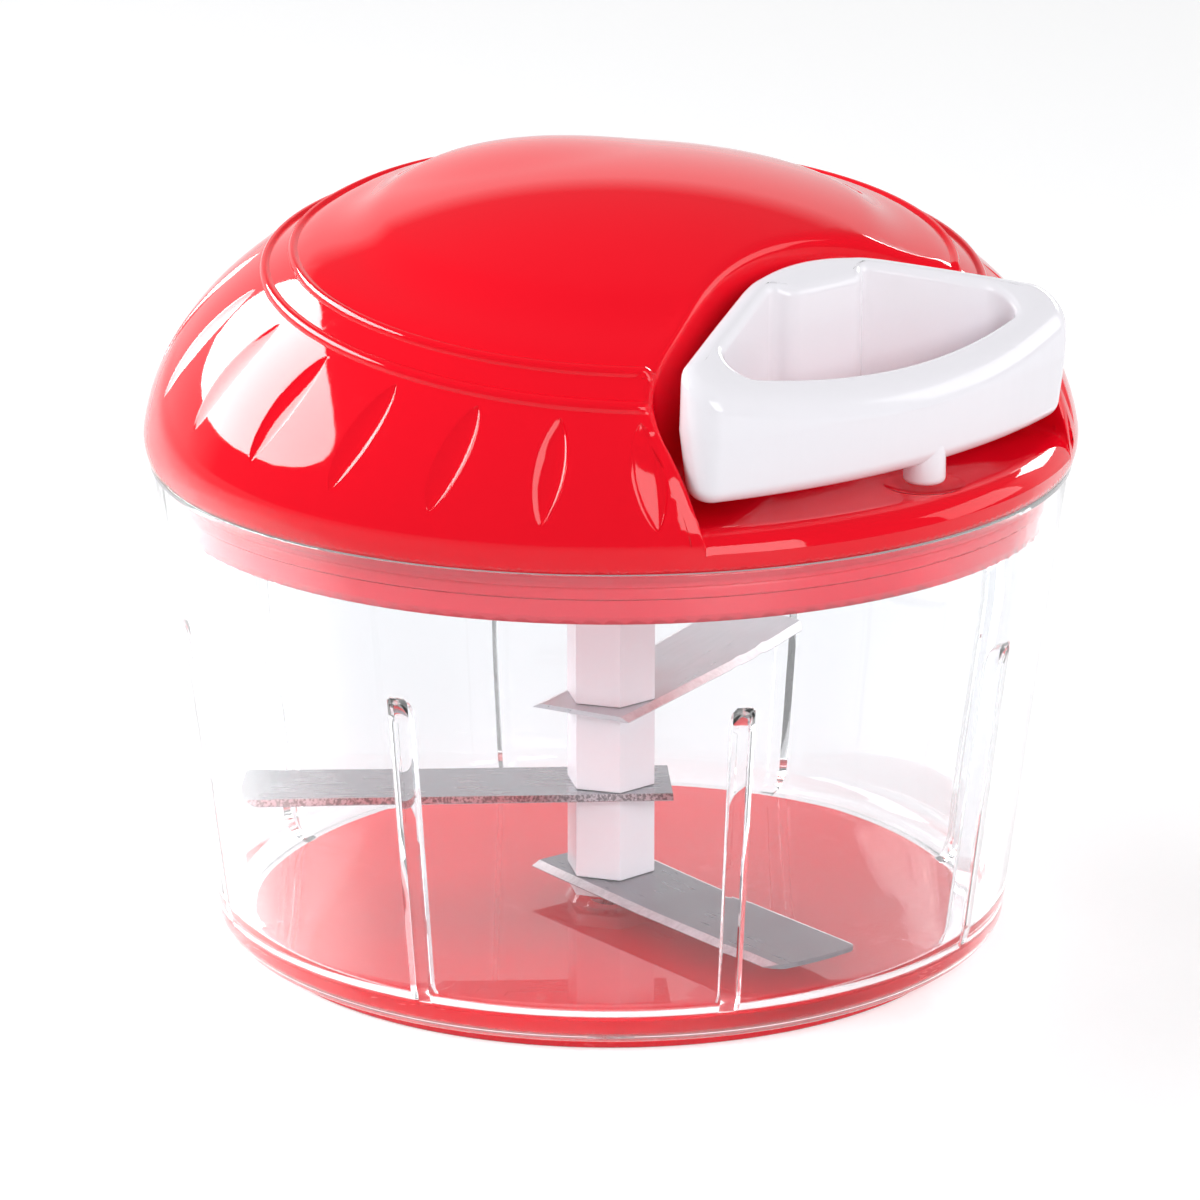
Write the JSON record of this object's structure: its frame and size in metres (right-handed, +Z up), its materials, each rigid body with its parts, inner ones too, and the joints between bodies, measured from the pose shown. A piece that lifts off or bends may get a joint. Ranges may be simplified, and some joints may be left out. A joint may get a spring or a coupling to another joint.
{
  "type": "pull-cord food chopper",
  "caption": "Round hand food chopper: clear ribbed bowl, domed lift-off lid with a finger handle on a recoil cord, and radial blades stacked on a centre pin.",
  "frame": {"origin": "on the bowl's axis, at the underside of the base", "axes": "+Z up along the bowl's axis; the handle is pulled out towards -Y; +X is to the right for someone who faces the handle"},
  "size_m": [0.152, 0.152, 0.1297],
  "materials": {
    "clear_plastic": "clear, polished",
    "red_rubber": "smooth matte",
    "red_plastic": "high gloss",
    "white_plastic": "high gloss",
    "off_white_plastic": "satin",
    "bearing_plastic": "matte",
    "blade_steel": "fine satin, ground edge",
    "spring_steel": "blued strip",
    "steel": "plain",
    "seal_rubber": "soft silicone",
    "cord": "braided"
  },
  "bodies": {
    "bowl": {"bowl": "clear_plastic", "non_slip_base": "red_rubber", "centre_pin": "steel"},
    "blades": {"blade_spindle": "off_white_plastic", "lower_blade": "blade_steel", "middle_blade": "blade_steel", "upper_blade": "blade_steel", "lower_spacer": "off_white_plastic", "middle_spacer": "off_white_plastic", "drive_column": "off_white_plastic", "stack_screw": "steel"},
    "lid": {"lid_shell": "red_plastic", "lower_cover": "red_plastic", "seal_ring": "seal_rubber", "cover_screws": "steel", "reel_axle": "steel", "cord_eyelet": "white_plastic", "hub_bush": "bearing_plastic", "recoil_spring": "spring_steel", "cord_run": "cord"},
    "reel": {"cord_reel": "bearing_plastic", "reel_cover": "bearing_plastic", "wound_cord": "cord", "drive_hub": "off_white_plastic"},
    "handle": {"pull_handle": "white_plastic", "cord_knot": "cord", "handle_cord": "cord"}
  },
  "joints": [
    {"name": "lid_lift", "type": "slide", "parent": "bowl", "child": "lid", "axis": [0, 0, 1], "range_m": [0, 0.13]},
    {"name": "handle_pull", "type": "slide", "parent": "lid", "child": "handle", "axis": [0, -1, 0], "range_m": [0, 0.3], "stiffness_N_per_m": 10, "springref_m": -0.2},
    {"name": "reel_spin", "type": "hinge", "parent": "lid", "child": "reel", "pos_m": [0, 0, 0.104], "axis": [0, 0, 1], "range_deg": [-640, 0]},
    {"name": "blade_spin", "type": "hinge", "parent": "bowl", "child": "blades", "pos_m": [0, 0, 0.04], "axis": [0, 0, 1], "range_deg": [-640, 0]}
  ],
  "couplings": [
    {"joint": "reel_spin", "follows": "handle_pull", "rad_per_m": -36.982},
    {"joint": "blade_spin", "follows": "handle_pull", "rad_per_m": -36.982}
  ]
}
